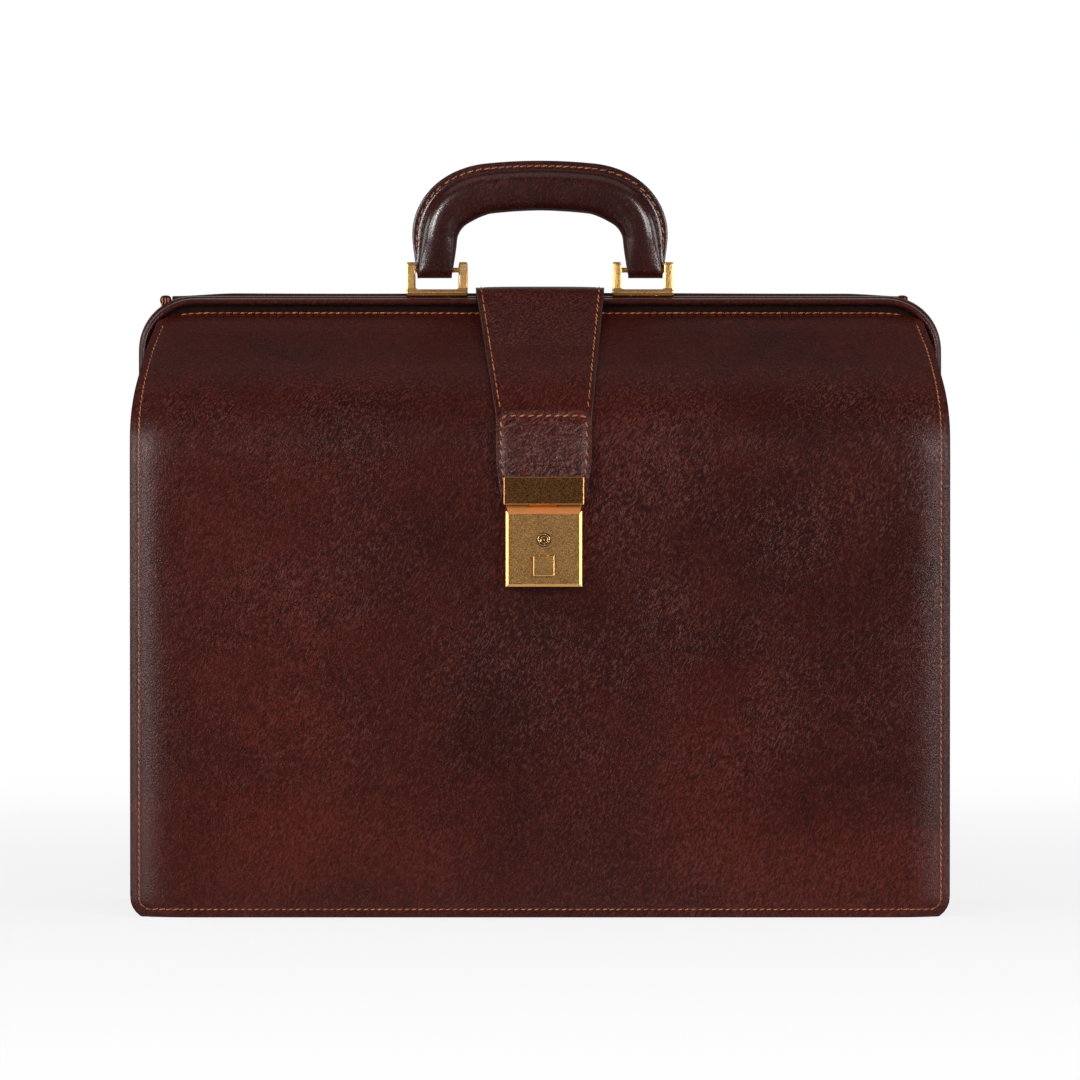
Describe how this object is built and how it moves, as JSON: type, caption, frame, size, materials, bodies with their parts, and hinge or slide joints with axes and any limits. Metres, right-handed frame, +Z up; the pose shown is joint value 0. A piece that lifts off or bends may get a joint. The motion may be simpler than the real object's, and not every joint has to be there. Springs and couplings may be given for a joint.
{
  "type": "briefcase",
  "caption": "Leather doctor's bag with a hinged frame mouth, an arched carrying handle, and a closing strap with a push-button lock.",
  "frame": {"origin": "on the floor, under the middle of the bag between the outsides of its two panels", "axes": "+Z up, -Y out of the front with the lock, +X to the right seen from the front"},
  "size_m": [0.42, 0.1797, 0.3886],
  "materials": {
    "leather": "polished dark red-brown leather, mottled",
    "brass": "satin yellow brass with a fine grain",
    "steel": "plain zinc-plated steel",
    "board": "plain fibreboard",
    "lining": "plain woven brown lining",
    "core": "dark moulded core"
  },
  "bodies": {
    "bag": {"front_panel": "leather", "back_panel": "leather", "left_gusset": "leather", "right_gusset": "leather", "bottom_gusset": "leather", "base_board": "board", "lining": "lining", "lock_case": "brass", "lock_base": "steel", "latch_pin": "steel", "key_post": "brass", "lock_backplate": "steel", "lock_rivets": "steel", "button_spring": "steel"},
    "front_frame": {"front_frame_bar": "steel", "front_frame_roll": "leather", "front_shoulder": "leather", "left_front_fold": "leather", "right_front_fold": "leather", "left_hinge_rivet": "steel", "right_hinge_rivet": "steel"},
    "back_frame": {"back_frame_bar": "steel", "back_frame_roll": "leather", "back_shoulder": "leather", "left_back_fold": "leather", "right_back_fold": "leather", "rear_lip": "leather", "strap_anchor": "leather", "left_bracket": "brass", "right_bracket": "brass", "left_handle_pin": "brass", "right_handle_pin": "brass", "bracket_screws": "brass"},
    "strap": {"strap": "leather", "strap_pad": "leather", "hasp_plate": "brass", "hasp_rivets": "brass"},
    "handle": {"handle_grip": "leather", "handle_core": "core"},
    "button": {"push_button": "brass"},
    "latch": {"latch_lever": "steel"},
    "cam": {"lock_cam": "steel"}
  },
  "joints": [
    {"name": "front_frame_swing", "type": "hinge", "parent": "bag", "child": "front_frame", "pos_m": [0, 0, 0.233], "axis": [1, 0, 0], "range_deg": [0, 45]},
    {"name": "back_frame_swing", "type": "hinge", "parent": "bag", "child": "back_frame", "pos_m": [0, 0, 0.233], "axis": [1, 0, 0], "range_deg": [-45, 0]},
    {"name": "strap_swing", "type": "hinge", "parent": "back_frame", "child": "strap", "pos_m": [0, 0.008, 0.32374], "axis": [1, 0, 0], "range_deg": [-81, 0]},
    {"name": "handle_swing", "type": "hinge", "parent": "back_frame", "child": "handle", "pos_m": [0, 0.007, 0.33234], "axis": [1, 0, 0], "range_deg": [-90, 15]},
    {"name": "button_press", "type": "slide", "parent": "bag", "child": "button", "axis": [0, 1, 0], "range_m": [0, 0.0012], "stiffness_N_per_m": 400, "springref_m": -0.001, "deforming": ["button_spring"]},
    {"name": "latch_rock", "type": "hinge", "parent": "bag", "child": "latch", "pos_m": [0.002, -0.0879, 0.19], "axis": [1, 0, 0], "range_deg": [0, 5.3]},
    {"name": "cam_turn", "type": "hinge", "parent": "bag", "child": "cam", "pos_m": [0.002, -0.085, 0.1942], "axis": [0, 1, 0], "range_deg": [0, 90]}
  ],
  "couplings": [
    {"joint": "back_frame_swing", "follows": "front_frame_swing", "ratio": -1},
    {"joint": "strap_swing", "follows": "front_frame_swing", "ratio": -1.8},
    {"joint": "latch_rock", "follows": "button_press", "rad_per_m": 77}
  ]
}
